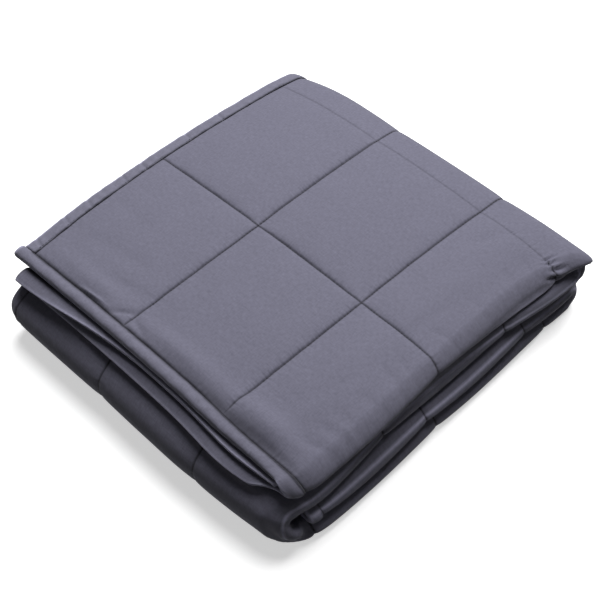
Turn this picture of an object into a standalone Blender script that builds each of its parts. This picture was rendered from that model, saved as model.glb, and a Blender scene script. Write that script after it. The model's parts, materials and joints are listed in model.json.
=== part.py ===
"""A quilted weighted blanket, folded into a square bundle: three layers one way, four panels the other.

Metres, +Z up. X runs from the back-left bound edge to the front-right folds, Y from the
front-left bound edge to the back-right folds. The origin is under the middle of the bundle.

Every piece is drawn flat, in the blanket's own measures (across, along, height above its
middle), and then folded twice: first across, into a strip of three layers, then along, into
four panels.
"""

import math

import bmesh
import bpy
import numpy as np

# Driving dimensions.
CELL_ACROSS = 0.127
CELL_ALONG = 0.160
LAYER_PITCH = 0.0074
PANEL_PITCH = 0.0224
FOLD_ACROSS = 0.3409  # from the back-left stitch line to the centre of the front-right folds
FOLD_ALONG = 0.343  # from the front-left stitch line to the centre of the back-right folds
INNER_LAYER_START = 0.0050
INNER_LAYER_END = 0.322
ROLL_CENTRE = -0.004
INNER_PANEL_END = 0.0125
EDGE_CREEP = 0.022  # how far the top layer's back-left edge draws in below the top panel
CREEP_START, CREEP_END = 0.33, 0.66  # where along the blanket it does so
CREEP_REACH = 0.9  # the share of the top layer that it draws in with it
PANELS = 4
OVERHANG = 0.0095  # how far the top panel's under layer hangs out over the roll
OVERHANG_REACH = 0.16  # how far along the blanket that fades out
OVERHANG_RISE, OVERHANG_FALL = 0.028, 0.170  # from the wrap, and on past the tucked bend
HANG_RADIUS = 2 * PANEL_PITCH - LAYER_PITCH  # from the roll's centre to the layer on it
LIP_DROOP = 0.0026  # how far each front-right fold hangs below its middle

SEAM_HALF = 0.0008
CROWN_HALF = 0.0031
OUTER_CROWN = 0.0030  # more crown where nothing lies on the cell
WRAP_CROWN, BACK_CROWN = 0.30, 0.25  # the share of it where a fold pulls the cloth taut
TAUT_REACH = 0.045  # how far before those folds it starts to fade
ROLL_PRESSED, ROLL_FREE = 0.22, 0.42  # how far round the roll the layer on it presses, and ends
CROWN_POWER = 0.4  # a full cell: it rises steeply from its seams and is nearly flat on top
HEM_WIDTH = 0.0100  # the raw edge inside the binding
BINDING_WIDTH = 0.0140
BINDING_HALF = 0.0033
BINDING_PUFF = 0.0020
CLEARANCE = 0.0003
SLOT_CLEARANCE = 0.0005  # over and under the hem, whose long flat faces twist a little

SEAM_SHOULDER = 0.009  # how far from a seam the first row of points lies
LEAST_STEP = 0.0012
STEPS = {"wrap": 6, "tuck": 4, "back": 6, "roll": 8, "low_back": 6}  # rows round each turn

COVER_COLOUR = (0.147, 0.147, 0.190, 1.0)
BINDING_COLOUR = (0.160, 0.160, 0.207, 1.0)

# Seams, by the layer or the panel they show on and their distance from the stitch lines.
# The columns' seams run along the blanket and the rows' seams across it.
COLUMN_SEAMS = {
    "top": (CELL_ACROSS, 2 * CELL_ACROSS),
    "under": (0.252, 0.129, 0.012),
    "inner": (0.114, 0.218),
}
ROW_SEAMS = {
    "top": (CELL_ALONG, 2 * CELL_ALONG),
    "second": (0.250, 0.093),
    "bottom": (0.002, 0.155, 0.310),
    "third": (0.277, 0.142),
}


# The height of the underside before the bundle is set down. Nothing settles there: it is flat.
UNDERSIDE = PANEL_PITCH / 2 - LAYER_PITCH - CROWN_HALF
ROLL_HEIGHT = 1.5 * PANEL_PITCH  # of the roll's centre

# Waves in the bands at the front right. level: which gap between panels, counted from the
# floor. depth: how far it rises and falls. crest: where along Y. length: crest to crest.
BANDS_START = 0.22
BANDS_RISE = 0.12
BAND_WAVES = (
    {"level": 3, "depth": 0.0012, "crest": 0.160, "length": 0.310},
    {"level": 2, "depth": 0.0026, "crest": 0.093, "length": 0.157},
    {"level": 1, "depth": 0.0022, "crest": 0.142, "length": 0.135},
)
# One band stands out past the next, and the folds sway along the bundle. by: how far. turn:
# radians to a level or to a metre. start: where in its wave it begins.
BAND_LEAN = {"by": 0.0030, "turn": 2.2, "start": 0.6}
EDGE_SWAY = {"by": 0.0020, "turn": 9.0, "start": 1.0}

# Slack places. moves, by: along which axis and how far. low, full: the heights, in panels from
# the floor, where it starts and where it is full. at, spread: where, and how wide.
SLACKS = (
    # The middle stands higher than the rim.
    {"moves": "z", "by": 0.0050, "low": 0, "full": 4, "at": (0.14, 0.23), "spread": (0.11, 0.14)},
    # The right-hand corner sinks and sticks out.
    {"moves": "z", "by": -0.0095, "low": 0, "full": 4, "at": (0.37, 0.38), "spread": (0.14, 0.14)},
    {"moves": "x", "by": 0.0080, "low": 1, "full": 3, "at": (0.38, 0.37), "spread": (0.12, 0.10)},
    # The free corner at the bottom of the view sinks.
    {"moves": "z", "by": -0.0065, "low": 2, "full": 4, "at": (0.36, -0.01), "spread": (0.13, 0.06)},
    # The left-hand corner sinks too, and is drawn in.
    {"moves": "z", "by": -0.0040, "low": 1, "full": 3, "at": (-0.01, -0.01), "spread": (0.09, 0.06)},
    {"moves": "x", "by": 0.0045, "low": 2, "full": 3, "at": (-0.01, -0.01), "spread": (0.07, 0.05)},
    # The far corner is drawn in both ways and sinks.
    {"moves": "y", "by": -0.0150, "low": 2, "full": 3, "at": (-0.02, 0.39), "spread": (0.05, 0.07)},
    {"moves": "x", "by": 0.0065, "low": 2, "full": 3, "at": (-0.02, 0.38), "spread": (0.06, 0.06)},
    {"moves": "z", "by": -0.0030, "low": 2, "full": 4, "at": (-0.02, 0.38), "spread": (0.06, 0.05)},
    # The upper back-right fold is drawn in and down along its middle.
    {"moves": "y", "by": -0.0080, "low": 2, "full": 3, "at": (0.16, 0.38), "spread": (0.12, 0.035)},
    {"moves": "z", "by": -0.0040, "low": 3, "full": 4, "at": (0.16, 0.375), "spread": (0.13, 0.035)},
    # The back-left bound edge droops.
    {"moves": "z", "by": -0.0040, "low": 3, "full": 3.8, "at": (-0.018, 0.20), "spread": (0.016, 0.25)},
    # The near corner of the top panel and the roll's near end are drawn in.
    {"moves": "x", "by": -0.0110, "low": 2, "full": 3, "at": (0.37, -0.02), "spread": (0.10, 0.09)},
    {"moves": "x", "by": -0.0120, "low": 3.2, "full": 2.4, "at": (0.37, -0.045), "spread": (0.09, 0.035)},
    {"moves": "x", "by": -0.0170, "low": 2.6, "full": 3.1, "at": (0.36, -0.03), "spread": (0.06, 0.02)},
    # The layer on the roll sags furthest just before that corner.
    {"moves": "y", "by": -0.0060, "low": 2.5, "full": 2.85, "at": (0.28, -0.025), "spread": (0.045, 0.025)},
    {"moves": "y", "by": 0.0120, "low": 4, "full": 3, "at": (0.37, -0.05), "spread": (0.09, 0.05)},
    # The back-left bound edge bows out a little.
    {"moves": "x", "by": -0.0045, "low": 2, "full": 3, "at": (-0.02, 0.18), "spread": (0.08, 0.10)},
    # The top rolls over softly before the front-right folds.
    {"moves": "z", "by": -0.0045, "low": 2, "full": 4, "at": (0.355, 0.17), "spread": (0.034, 0.60)},
)

# How much fuller one cell is than the next. by: the share. across, along: radians to a metre.
LUMPS = (
    {"by": 0.10, "across": 31.0, "along": 17.0, "start": 0.0},
    {"by": 0.08, "across": 13.0, "along": -29.0, "start": 1.0},
)


class Path:
    """A fold seen from its end: straight runs and half turns, measured along its middle.

    marks are places that get a row of points of their own.
    """

    def __init__(self, start, runs):
        self.pieces = []
        self.marks = []
        point = np.array(start, dtype=float)
        heading = 0.0
        travelled = 0.0
        for name, length, radius in runs:
            self.pieces.append((name, travelled, length, radius, point.copy(), heading))
            if radius:
                turn = length / radius
                left = np.array((-math.sin(heading), math.cos(heading)))
                centre = point + radius * left
                point = centre + (point - centre) @ turned(turn)
                heading += turn
            else:
                point = point + length * np.array((math.cos(heading), math.sin(heading)))
            travelled += abs(length)
        self.length = travelled

    def piece(self, name):
        return next(found for found in self.pieces if found[0] == name)

    def at(self, places):
        """Points and left-hand normals at these places; past an end the path runs on straight."""
        places = np.asarray(places, dtype=float)
        points = np.zeros(places.shape + (2,))
        normals = np.zeros(places.shape + (2,))
        for index, (_, start, length, radius, origin, heading) in enumerate(self.pieces):
            first = index == 0
            last = index == len(self.pieces) - 1
            inside = ((places >= start) | first) & ((places < start + abs(length)) | last)
            along = places[inside] - start
            if radius:
                angle = heading + along / radius
                left = np.stack((-np.sin(angle), np.cos(angle)), axis=-1)
                centre = origin + radius * np.array((-math.sin(heading), math.cos(heading)))
                points[inside] = centre - radius * left
            else:
                left = np.broadcast_to((-math.sin(heading), math.cos(heading)), along.shape + (2,))
                ahead = np.array((math.cos(heading), math.sin(heading)))
                points[inside] = origin + along[:, None] * ahead
            normals[inside] = left
        return points, normals

    def share(self, places, name):
        """How far along this run of the path: 0 at its start, 1 at its end."""
        _, start, length, _, _, _ = self.piece(name)
        return (np.asarray(places) - start) / abs(length)

    def bulge(self, places, name):
        """0 at both ends of a half turn, 1 at its middle, and 0 away from it."""
        share = self.share(places, name)
        return np.where((share > 0) & (share < 1), np.sin(np.pi * np.clip(share, 0, 1)), 0.0)

    def seams(self, table):
        """Where the seams of this table lie along the path."""
        found = [0.0, self.length]
        for name, offsets in table.items():
            _, start, length, _, origin, heading = self.piece(name)
            for offset in offsets:
                found.append(start + (offset - origin[0]) * math.cos(heading))
        return sorted(found)


def turned(angle):
    """A matrix that turns row vectors to the left."""
    return np.array(((math.cos(angle), math.sin(angle)), (-math.sin(angle), math.cos(angle))))


def half_turn(name, radius):
    """A half turn to the left, or to the right where the radius is negative."""
    return (name, math.pi * abs(radius), radius)


# Across: the top layer, the wrap at the front right, the under layer, and the inner layer
# tucked between them. Seen along +Y, with the layers' height as the second number.
ACROSS = Path(
    (0.0, LAYER_PITCH),
    (
        ("top", FOLD_ACROSS, 0.0),
        half_turn("wrap", -LAYER_PITCH),
        ("under", FOLD_ACROSS - INNER_LAYER_START, 0.0),
        half_turn("tuck", -LAYER_PITCH / 2),
        ("inner", INNER_LAYER_END - INNER_LAYER_START, 0.0),
    ),
)

# Along: the top panel, the second below it, the roll round to the bottom panel, and the
# third panel, which lies inside the roll.
ALONG = Path(
    (0.0, 3.5 * PANEL_PITCH),
    (
        ("top", FOLD_ALONG, 0.0),
        half_turn("back", -PANEL_PITCH / 2),
        ("second", FOLD_ALONG - ROLL_CENTRE, 0.0),
        half_turn("roll", PANEL_PITCH),
        ("bottom", FOLD_ALONG - ROLL_CENTRE, 0.0),
        half_turn("low_back", PANEL_PITCH / 2),
        ("third", FOLD_ALONG - INNER_PANEL_END, 0.0),
    ),
)
ACROSS.marks.append(ACROSS.piece("under")[1] + OVERHANG_RISE)
SEAMS_ACROSS = ACROSS.seams(COLUMN_SEAMS)
SEAMS_ALONG = ALONG.seams(ROW_SEAMS)


def smooth(share):
    """0 up to 0, 1 from 1 on, and an even rise between."""
    share = np.clip(share, 0, 1)
    return share**2 * (3 - 2 * share)


def within(path, places, name):
    """1 on this run of a path and 0 off it, with soft ends."""
    _, start, length, _, _, _ = path.piece(name)
    edge = 0.01
    rise = np.clip((places - start) / edge + 0.5, 0, 1)
    fall = np.clip((start + abs(length) - places) / edge + 0.5, 0, 1)
    if start == 0:
        rise = np.ones_like(places)
    return rise * fall


def crown(places, seams):
    """How full a cell is here: 0 on a seam, 1 in the middle between two."""
    seams = np.asarray(seams)
    index = np.clip(np.searchsorted(seams, places, side="right") - 1, 0, len(seams) - 2)
    share = np.clip((places - seams[index]) / (seams[index + 1] - seams[index]), 0, 1)
    return (4 * share * (1 - share)) ** CROWN_POWER


def lumps(across, along):
    """The filling is a little fuller in one cell than in the next."""
    waves = [
        row["by"] * np.sin(row["across"] * across + row["along"] * along + row["start"])
        for row in LUMPS
    ]
    return 1 + sum(waves)


def free_face(across, along):
    """1 where the cloth's outer side faces the open air, so that it can swell."""
    top = within(ACROSS, across, "top")
    under = within(ACROSS, across, "under")
    wrap = ACROSS.bulge(across, "wrap")
    near_wrap = 1 - (1 - WRAP_CROWN) * smooth((across - FOLD_ACROSS) / TAUT_REACH + 1)
    near_back = 1 - (1 - BACK_CROWN) * smooth((along - FOLD_ALONG) / TAUT_REACH + 1)
    first = within(ALONG, along, "top") * near_wrap * near_back
    back = BACK_CROWN * ALONG.bulge(along, "back")
    bare = smooth((ALONG.share(along, "roll") - ROLL_PRESSED) / (ROLL_FREE - ROLL_PRESSED))
    turns = under * (bare * ALONG.bulge(along, "roll") + ALONG.bulge(along, "low_back"))
    return np.clip(top * (first + back) + WRAP_CROWN * wrap + turns, 0, 1)


def on_floor(across, along):
    """1 on the side that the bundle rests on."""
    return within(ACROSS, across, "under") * within(ALONG, along, "bottom")


def skins(across, along):
    """Heights of the cloth's outer and inner sides over its middle."""
    full = crown(across, SEAMS_ACROSS) * crown(along, SEAMS_ALONG)
    half = SEAM_HALF + (CROWN_HALF - SEAM_HALF) * full
    outer = half + OUTER_CROWN * full * free_face(across, along) * lumps(across, along)
    floor = on_floor(across, along)
    outer = outer * (1 - floor) + CROWN_HALF * floor
    return outer, -half


def hill(x, centre, width):
    return np.exp(-(((x - centre) / width) ** 2))


def swing(wave, places):
    return wave["by"] * np.sin(wave["turn"] * places + wave["start"])


def settle(points):
    """The slack of a real fold: waves in the bands, and corners that sink, lift or draw in."""
    place = {axis: points[..., index].copy() for index, axis in enumerate("xyz")}
    level = (place["z"] - UNDERSIDE) / PANEL_PITCH
    front_right = np.clip((place["x"] - BANDS_START) / BANDS_RISE, 0, 1) ** 2
    for wave in BAND_WAVES:
        near = np.clip(1 - np.abs(level - wave["level"]), 0, 1)
        phase = 2 * np.pi * (place["y"] - wave["crest"]) / wave["length"]
        place["z"] += wave["depth"] * near * front_right * np.cos(phase)
    for slack in SLACKS:
        share = (level - slack["low"]) / (slack["full"] - slack["low"])
        x, y = slack["at"]
        wide, deep = slack["spread"]
        reach = hill(place["x"], x, wide) * hill(place["y"], y, deep)
        place[slack["moves"]] += slack["by"] * np.clip(share, 0, 1) * reach
    off_floor = np.clip(level, 0, 1)
    below_top = np.clip(PANELS - level, 0, 1)
    place["x"] += front_right * off_floor * swing(BAND_LEAN, level)
    place["y"] += below_top * swing(EDGE_SWAY, place["x"])
    return np.stack((place["x"], place["y"], place["z"]), axis=-1)


def hanging(across):
    """1 on the under layer, 0 on the top layer and along most of the inner one."""
    _, under, _, _, _, _ = ACROSS.piece("under")
    _, inner, _, _, _, _ = ACROSS.piece("inner")
    return smooth((across - under) / OVERHANG_RISE) * (1 - smooth((across - inner) / OVERHANG_FALL))


def draped(along, hang, y, z):
    """Bends what hangs out past the roll's centre down over it."""
    beyond = np.where(along < ROLL_CENTRE, np.clip(ROLL_CENTRE - y, 0, None), 0.0)
    angle = hang * beyond / HANG_RADIUS
    radius = z - ROLL_HEIGHT
    y = y + HANG_RADIUS * angle - radius * np.sin(angle)
    return y, z - radius * (1 - np.cos(angle))


def folded(across, along, height):
    """Places of the flat blanket, in metres, where they lie in the folded one."""
    creep = EDGE_CREEP * smooth((along - CREEP_START) / (CREEP_END - CREEP_START))
    creep = creep * np.clip(1 - across / (CREEP_REACH * FOLD_ACROSS), 0, 1)
    middle, normal = ACROSS.at(across + creep)
    x = middle[..., 0] + height * normal[..., 0]
    lift = middle[..., 1] + height * normal[..., 1]
    hang = hanging(across)
    along = along - OVERHANG * hang * np.clip(1 - along / OVERHANG_REACH, 0, 1) ** 2
    spine, up = ALONG.at(along)
    y = spine[..., 0] + lift * up[..., 0]
    z = spine[..., 1] + lift * up[..., 1]
    y, z = draped(along, hang, y, z)
    off_floor = np.clip((z - UNDERSIDE) / PANEL_PITCH, 0, 1)
    z = z - LIP_DROOP * ACROSS.bulge(across, "wrap") * np.abs(up[..., 1]) * off_floor
    return settle(np.stack((x, y, z), axis=-1))


def stations(path, seams):
    """Rows of points along a path: at each seam, beside it, between two, and round each turn."""
    turns = []
    for name, start, length, radius, _, _ in path.pieces:
        if radius:
            turns.append(np.linspace(start, start + length, STEPS[name] + 1))
    rows = []
    for first, last in zip(seams, seams[1:]):
        shoulder = min(SEAM_SHOULDER, (last - first) / 4)
        rows.extend((first, first + shoulder, (first + last) / 2, last - shoulder, last))
    rows = [row for row in rows if not any(turn[0] < row < turn[-1] for turn in turns)]
    rows = sorted(rows + path.marks + [row for turn in turns for row in turn])
    kept = [rows[0]]
    for row in rows[1:]:
        if row - kept[-1] > LEAST_STEP:
            kept.append(row)
    return np.array(kept)


def with_hems(path, seams):
    """The same rows, with one more at each end for the hem inside the binding."""
    return np.concatenate(([-HEM_WIDTH], stations(path, seams), [path.length + HEM_WIDTH]))


def grid(bm, columns, rows):
    """A flat grid of this many columns and rows of points, each with its place in it."""
    made = bmesh.ops.create_grid(bm, x_segments=columns - 1, y_segments=rows - 1, size=1.0)
    places = {}
    for vertex in made["verts"]:
        column = round((vertex.co.x + 1) / 2 * (columns - 1))
        row = round((vertex.co.y + 1) / 2 * (rows - 1))
        places[vertex] = (column, row)
    return places


def split_alike(bm, flat):
    """Cuts each four-sided face along one diagonal of the flat blanket, so that a hem and the
    binding over it twist alike. flat gives each point's place across, along and its height."""
    for face in [face for face in bm.faces if len(face.verts) == 4]:
        corners = sorted(face.verts, key=lambda point: (round(sum(flat[point][:2]), 6), flat[point][2]))
        bmesh.utils.face_split(face, corners[0], corners[-1])


def finish(name, bm, material):
    """Makes the object, with its faces pointing outwards."""
    bmesh.ops.recalc_face_normals(bm, faces=bm.faces)
    mesh = bpy.data.meshes.new(name)
    bm.to_mesh(mesh)
    bm.free()
    mesh.materials.append(material)
    mesh.shade_smooth()
    made = bpy.data.objects.new(name, mesh)
    bpy.context.scene.collection.objects.link(made)
    return made


def quilt(material):
    """The quilted cloth: one sheet with crowned cells, closed round its hem."""
    across = with_hems(ACROSS, SEAMS_ACROSS)
    along = with_hems(ALONG, SEAMS_ALONG)
    s, t = np.meshgrid(across, along, indexing="ij")
    bm = bmesh.new()
    sides = []
    flat = {}
    for heights in skins(s, t):
        corners = folded(s, t, heights)
        places = grid(bm, len(across), len(along))
        for vertex, place in places.items():
            vertex.co = corners[place]
            flat[vertex] = (s[place], t[place], heights[place])
        sides.append({place: vertex for vertex, place in places.items()})
    outer, inner = sides
    twin = {vertex: inner[place] for place, vertex in outer.items()}
    for edge in [edge for edge in bm.edges if edge.is_boundary and edge.verts[0] in twin]:
        first, second = edge.verts
        bm.faces.new((first, second, twin[second], twin[first]))
    split_alike(bm, flat)
    return finish("quilt", bm, material)


def binding(name, material, path, fixed, seams, start, end):
    """A strip folded over one edge: a C in section, swept along the edge.

    fixed gives the edge it covers: which way it runs, where the stitch line is, and outwards.
    """
    runs_across, stitch, outwards = fixed
    inner = stations(path, seams)
    inner = inner[(inner > start + LEAST_STEP) & (inner < end - LEAST_STEP)]
    rows = np.concatenate(([start], inner, [end]))
    mouth = SEAM_HALF + SLOT_CLEARANCE
    profile = (
        (-CLEARANCE, mouth),
        (-CLEARANCE, 0.7 * BINDING_HALF),
        (0.35 * BINDING_WIDTH, BINDING_HALF),
        (0.78 * BINDING_WIDTH, 0.88 * BINDING_HALF),
        (BINDING_WIDTH, 0.35 * BINDING_HALF),
        (BINDING_WIDTH, -0.35 * BINDING_HALF),
        (0.78 * BINDING_WIDTH, -0.88 * BINDING_HALF),
        (0.35 * BINDING_WIDTH, -BINDING_HALF),
        (-CLEARANCE, -0.7 * BINDING_HALF),
        (-CLEARANCE, -mouth),
        (HEM_WIDTH + CLEARANCE, -mouth),
        (HEM_WIDTH + CLEARANCE, mouth),
    )
    bm = bmesh.new()
    places = grid(bm, len(profile) + 1, len(rows))
    flat = {}
    for vertex, (column, row) in places.items():
        out, height = profile[column % len(profile)]
        beyond = stitch + outwards * out
        s, t = (rows[row], beyond) if runs_across else (beyond, rows[row])
        flat[vertex] = (s, t, height)
        s, t = np.array([s]), np.array([t])
        if height > mouth and runs_across:
            height += BINDING_PUFF * (height / BINDING_HALF) ** 2 * free_face(s, t)[0]
        vertex.co = folded(s, t, np.array([height]))[0]
    split_alike(bm, flat)
    bmesh.ops.remove_doubles(bm, verts=bm.verts, dist=1e-6)
    bmesh.ops.holes_fill(bm, edges=[edge for edge in bm.edges if edge.is_boundary])
    return finish(name, bm, material)


def bindings(material):
    """Two strips across the ends at full width, and one up each side between them."""
    past = BINDING_WIDTH
    width = ACROSS.length
    length = ALONG.length
    gap = CLEARANCE
    made = []
    for name, stitch, outwards in (("front", 0.0, -1), ("tucked", length, 1)):
        fixed = (True, stitch, outwards)
        made.append(binding(f"binding_{name}", material, ACROSS, fixed, SEAMS_ACROSS, -past, width + past))
    for name, stitch, outwards in (("back", 0.0, -1), ("inner", width, 1)):
        fixed = (False, stitch, outwards)
        made.append(
            binding(f"binding_{name}", material, ALONG, fixed, SEAMS_ALONG, 2 * gap, length - 2 * gap)
        )
    return made


def cloth(name, colour, roughness):
    material = bpy.data.materials.new(name)
    material.use_nodes = True
    shader = material.node_tree.nodes["Principled BSDF"]
    shader.inputs["Base Color"].default_value = colour
    shader.inputs["Roughness"].default_value = roughness
    shader.inputs["Metallic"].default_value = 0.0
    return material


def stand_on_origin(objects):
    """Puts the middle of the bundle's underside at the origin."""
    corners = np.array([vertex.co for made in objects for vertex in made.data.vertices])
    low, high = corners.min(axis=0), corners.max(axis=0)
    shift = (-(low[0] + high[0]) / 2, -(low[1] + high[1]) / 2, -low[2])
    for made in objects:
        for vertex in made.data.vertices:
            vertex.co.x += shift[0]
            vertex.co.y += shift[1]
            vertex.co.z += shift[2]


def main():
    for old in list(bpy.data.objects):
        bpy.data.objects.remove(old)
    cover = cloth("cotton_cover", COVER_COLOUR, 0.85)
    edging = cloth("cotton_binding", BINDING_COLOUR, 0.80)
    stand_on_origin([quilt(cover), *bindings(edging)])


main()
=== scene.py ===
"""A quilted weighted blanket, folded into a bundle: its cover, bindings and stitching.

Metres, +Z up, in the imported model's frame. Every piece is worked out flat, in the blanket's own
measures (across, along, height above its middle), and folded twice: first across, into a strip
of three layers, then along, into four panels.
"""

import json
import math
from collections import namedtuple

import bmesh
import bpy
import numpy as np
from bpy.props import FloatProperty, FloatVectorProperty, PointerProperty
from mathutils import Matrix, Vector

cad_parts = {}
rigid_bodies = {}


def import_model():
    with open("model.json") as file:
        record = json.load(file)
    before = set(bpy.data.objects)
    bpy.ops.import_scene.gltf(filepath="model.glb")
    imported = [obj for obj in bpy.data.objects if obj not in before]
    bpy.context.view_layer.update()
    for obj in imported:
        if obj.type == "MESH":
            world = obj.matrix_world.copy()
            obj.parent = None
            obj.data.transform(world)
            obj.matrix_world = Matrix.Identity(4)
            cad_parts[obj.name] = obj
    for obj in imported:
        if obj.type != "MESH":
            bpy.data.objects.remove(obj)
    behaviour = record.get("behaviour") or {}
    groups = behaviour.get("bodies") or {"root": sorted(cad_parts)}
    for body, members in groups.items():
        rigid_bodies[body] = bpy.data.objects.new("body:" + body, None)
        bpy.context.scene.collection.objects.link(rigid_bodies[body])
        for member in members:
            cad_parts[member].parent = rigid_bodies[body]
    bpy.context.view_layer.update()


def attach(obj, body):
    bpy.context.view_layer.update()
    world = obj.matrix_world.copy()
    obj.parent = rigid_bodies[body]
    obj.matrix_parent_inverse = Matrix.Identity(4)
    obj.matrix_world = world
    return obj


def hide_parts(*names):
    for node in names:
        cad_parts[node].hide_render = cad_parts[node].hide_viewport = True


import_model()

bl_info = {
    "name": "Folded weighted blanket",
    "version": (1, 0, 0),
    "blender": (4, 5, 0),
    "location": "View3D > Sidebar > Blanket",
    "description": "Makes a folded, quilted weighted blanket",
    "category": "Add Mesh",
}

# The folded bundle's sizes, the same as the solids' but for the hem.
CELL_ACROSS = 0.127
CELL_ALONG = 0.160
LAYER_PITCH = 0.0074  # from one layer of the strip to the next
PANEL_PITCH = 0.0224  # from one panel of the bundle to the next
PANELS = 4
FOLD_ACROSS = 0.3409  # from the back-left stitch line to the front-right folds
FOLD_ALONG = 0.343  # from the front-left stitch line to the back-right folds
INNER_LAYER_START = 0.0050
INNER_LAYER_END = 0.322
ROLL_CENTRE = -0.004
INNER_PANEL_END = 0.0125
# How far the free long edge slips across, between where and where along it, and how much of the
# top layer slips with it.
EDGE_CREEP = 0.022
CREEP_START, CREEP_END = 0.33, 0.66
CREEP_REACH = 0.9
# How far the under layer hangs out over the roll, and how that begins and ends.
OVERHANG = 0.0095
OVERHANG_REACH = 0.16
OVERHANG_RISE, OVERHANG_FALL = 0.028, 0.170
HANG_RADIUS = 2 * PANEL_PITCH - LAYER_PITCH
# How full the cloth stays over a fold, and how far from the fold it starts to be drawn taut.
WRAP_CROWN, BACK_CROWN = 0.30, 0.25
TAUT_REACH = 0.045
ROLL_PRESSED, ROLL_FREE = 0.22, 0.42  # shares of the roll's turn between which it comes free
ROLL_SHALLOW = 0.62  # how much shallower its seams are there
SOFT_END = 0.01  # over which the cloth changes from one run of its path to the next
# Half the cloth's thickness, on a seam and in the middle of a pressed cell.
SEAM_HALF = 0.0008
CROWN_HALF = 0.0031
CROWN_POWER = 0.4
HEM_WIDTH = 0.0055  # shorter than the solids', and hidden in the bindings as there
BINDING_WIDTH = 0.0140
BINDING_HALF = 0.0033
CLEARANCE = 0.0003
SLOT_CLEARANCE = 0.0005
MOUTH = SEAM_HALF + SLOT_CLEARANCE  # half the height of the slot that the hem lies in
UNDERSIDE = PANEL_PITCH / 2 - LAYER_PITCH - CROWN_HALF
ROLL_HEIGHT = 1.5 * PANEL_PITCH
TO_ORIGIN = np.array((-0.17183443, -0.16607661, -UNDERSIDE))

# Seams, by the layer or the panel they show on and their distance from the stitch lines.
COLUMN_SEAMS = {
    "top": (CELL_ACROSS, 2 * CELL_ACROSS),
    "under": (0.252, 0.129, 0.012),
    "inner": (0.114, 0.218),
}
ROW_SEAMS = {
    "top": (CELL_ALONG, 2 * CELL_ALONG),
    "second": (0.250, 0.093),
    "bottom": (0.002, 0.155, 0.310),
    "third": (0.277, 0.142),
}

# The bands at the front right: where along X their waves start, and how soon they are full.
BANDS_START = 0.22
BANDS_RISE = 0.12
# Waves in the bands at the front right. level: which gap between panels, counted from the
# floor. depth: how far it rises and falls. crest: where along Y. length: crest to crest.
BAND_WAVES = (
    {"level": 3, "depth": 0.0012, "crest": 0.160, "length": 0.310},
    {"level": 2, "depth": 0.0026, "crest": 0.093, "length": 0.157},
    {"level": 1, "depth": 0.0022, "crest": 0.142, "length": 0.135},
)
BAND_LEAN = {"by": 0.0030, "turn": 2.2, "start": 0.6}
EDGE_SWAY = {"by": 0.0020, "turn": 9.0, "start": 1.0}

# Slack places: along which axis the cloth moves, and how far, the heights where that starts and
# where it is full, in panels from the floor, its middle along X and Y, and how wide it spreads.
SLACKS = (
    # The middle stands higher than the rim.
    ("z", 0.0050, 0, 4, (0.14, 0.23), (0.11, 0.14)),
    # The right-hand corner sinks and sticks out.
    ("z", -0.0095, 0, 4, (0.37, 0.38), (0.14, 0.14)),
    ("x", 0.0080, 1, 3, (0.38, 0.37), (0.12, 0.10)),
    # The free corner at the bottom of the view sinks.
    ("z", -0.0065, 2, 4, (0.36, -0.01), (0.13, 0.06)),
    # The left-hand corner sinks too, and is drawn in.
    ("z", -0.0040, 1, 3, (-0.01, -0.01), (0.09, 0.06)),
    ("x", 0.0045, 2, 3, (-0.01, -0.01), (0.07, 0.05)),
    # The far corner is drawn in both ways and sinks.
    ("y", -0.0150, 2, 3, (-0.02, 0.39), (0.05, 0.07)),
    ("x", 0.0065, 2, 3, (-0.02, 0.38), (0.06, 0.06)),
    ("z", -0.0030, 2, 4, (-0.02, 0.38), (0.06, 0.05)),
    # The upper back-right fold is drawn in and down along its middle.
    ("y", -0.0080, 2, 3, (0.16, 0.38), (0.12, 0.035)),
    ("z", -0.0040, 3, 4, (0.16, 0.375), (0.13, 0.035)),
    # The back-left bound edge droops.
    ("z", -0.0040, 3, 3.8, (-0.018, 0.20), (0.016, 0.25)),
    # The near corner of the top panel and the roll's near end are drawn in.
    ("x", -0.0110, 2, 3, (0.37, -0.02), (0.10, 0.09)),
    ("x", -0.0120, 3.2, 2.4, (0.37, -0.045), (0.09, 0.035)),
    ("x", -0.0170, 2.6, 3.1, (0.36, -0.03), (0.06, 0.02)),
    # The layer on the roll sags furthest just before that corner.
    ("y", -0.0060, 2.5, 2.85, (0.28, -0.025), (0.045, 0.025)),
    # The near corner is drawn in along Y as well.
    ("y", 0.0120, 4, 3, (0.37, -0.05), (0.09, 0.05)),
    # The back-left bound edge bows out a little.
    ("x", -0.0045, 2, 3, (-0.02, 0.18), (0.08, 0.10)),
    # The top rolls over softly before the front-right folds.
    ("z", -0.0045, 2, 4, (0.355, 0.17), (0.034, 0.60)),
    # The rest is only in this finer form. The right-hand corner is pinched under a pointed tip.
    ("x", -0.0080, 3.45, 3.1, (0.375, 0.360), (0.06, 0.040)),
    ("x", 0.0080, 3.0, 2.5, (0.375, 0.360), (0.06, 0.040)),
    ("x", 0.0100, 2.9, 3.4, (0.355, 0.365), (0.03, 0.018)),
    # The front-right lips of the upper panels lie further in than the bands under them.
    ("x", -0.0120, 1.7, 2.5, (0.370, 0.160), (0.06, 0.11)),
    ("x", -0.0140, 2.8, 3.3, (0.370, 0.290), (0.06, 0.08)),
    # The far back-right fold lies flatter between the corner and the first seam.
    ("z", -0.0050, 3, 4, (0.070, 0.380), (0.050, 0.030)),
)
LIP_DROOP = 0.0040  # how far each front-right fold hangs below its middle
LIP_POINT = 0.0014  # how far its sharpest line stands out

# How much fuller one cell is than the next. by: the share. across, along: radians to a metre.
LUMPS = (
    {"by": 0.10, "across": 31.0, "along": 17.0, "start": 0.0},
    {"by": 0.08, "across": 13.0, "along": -29.0, "start": 1.0},
)

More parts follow.
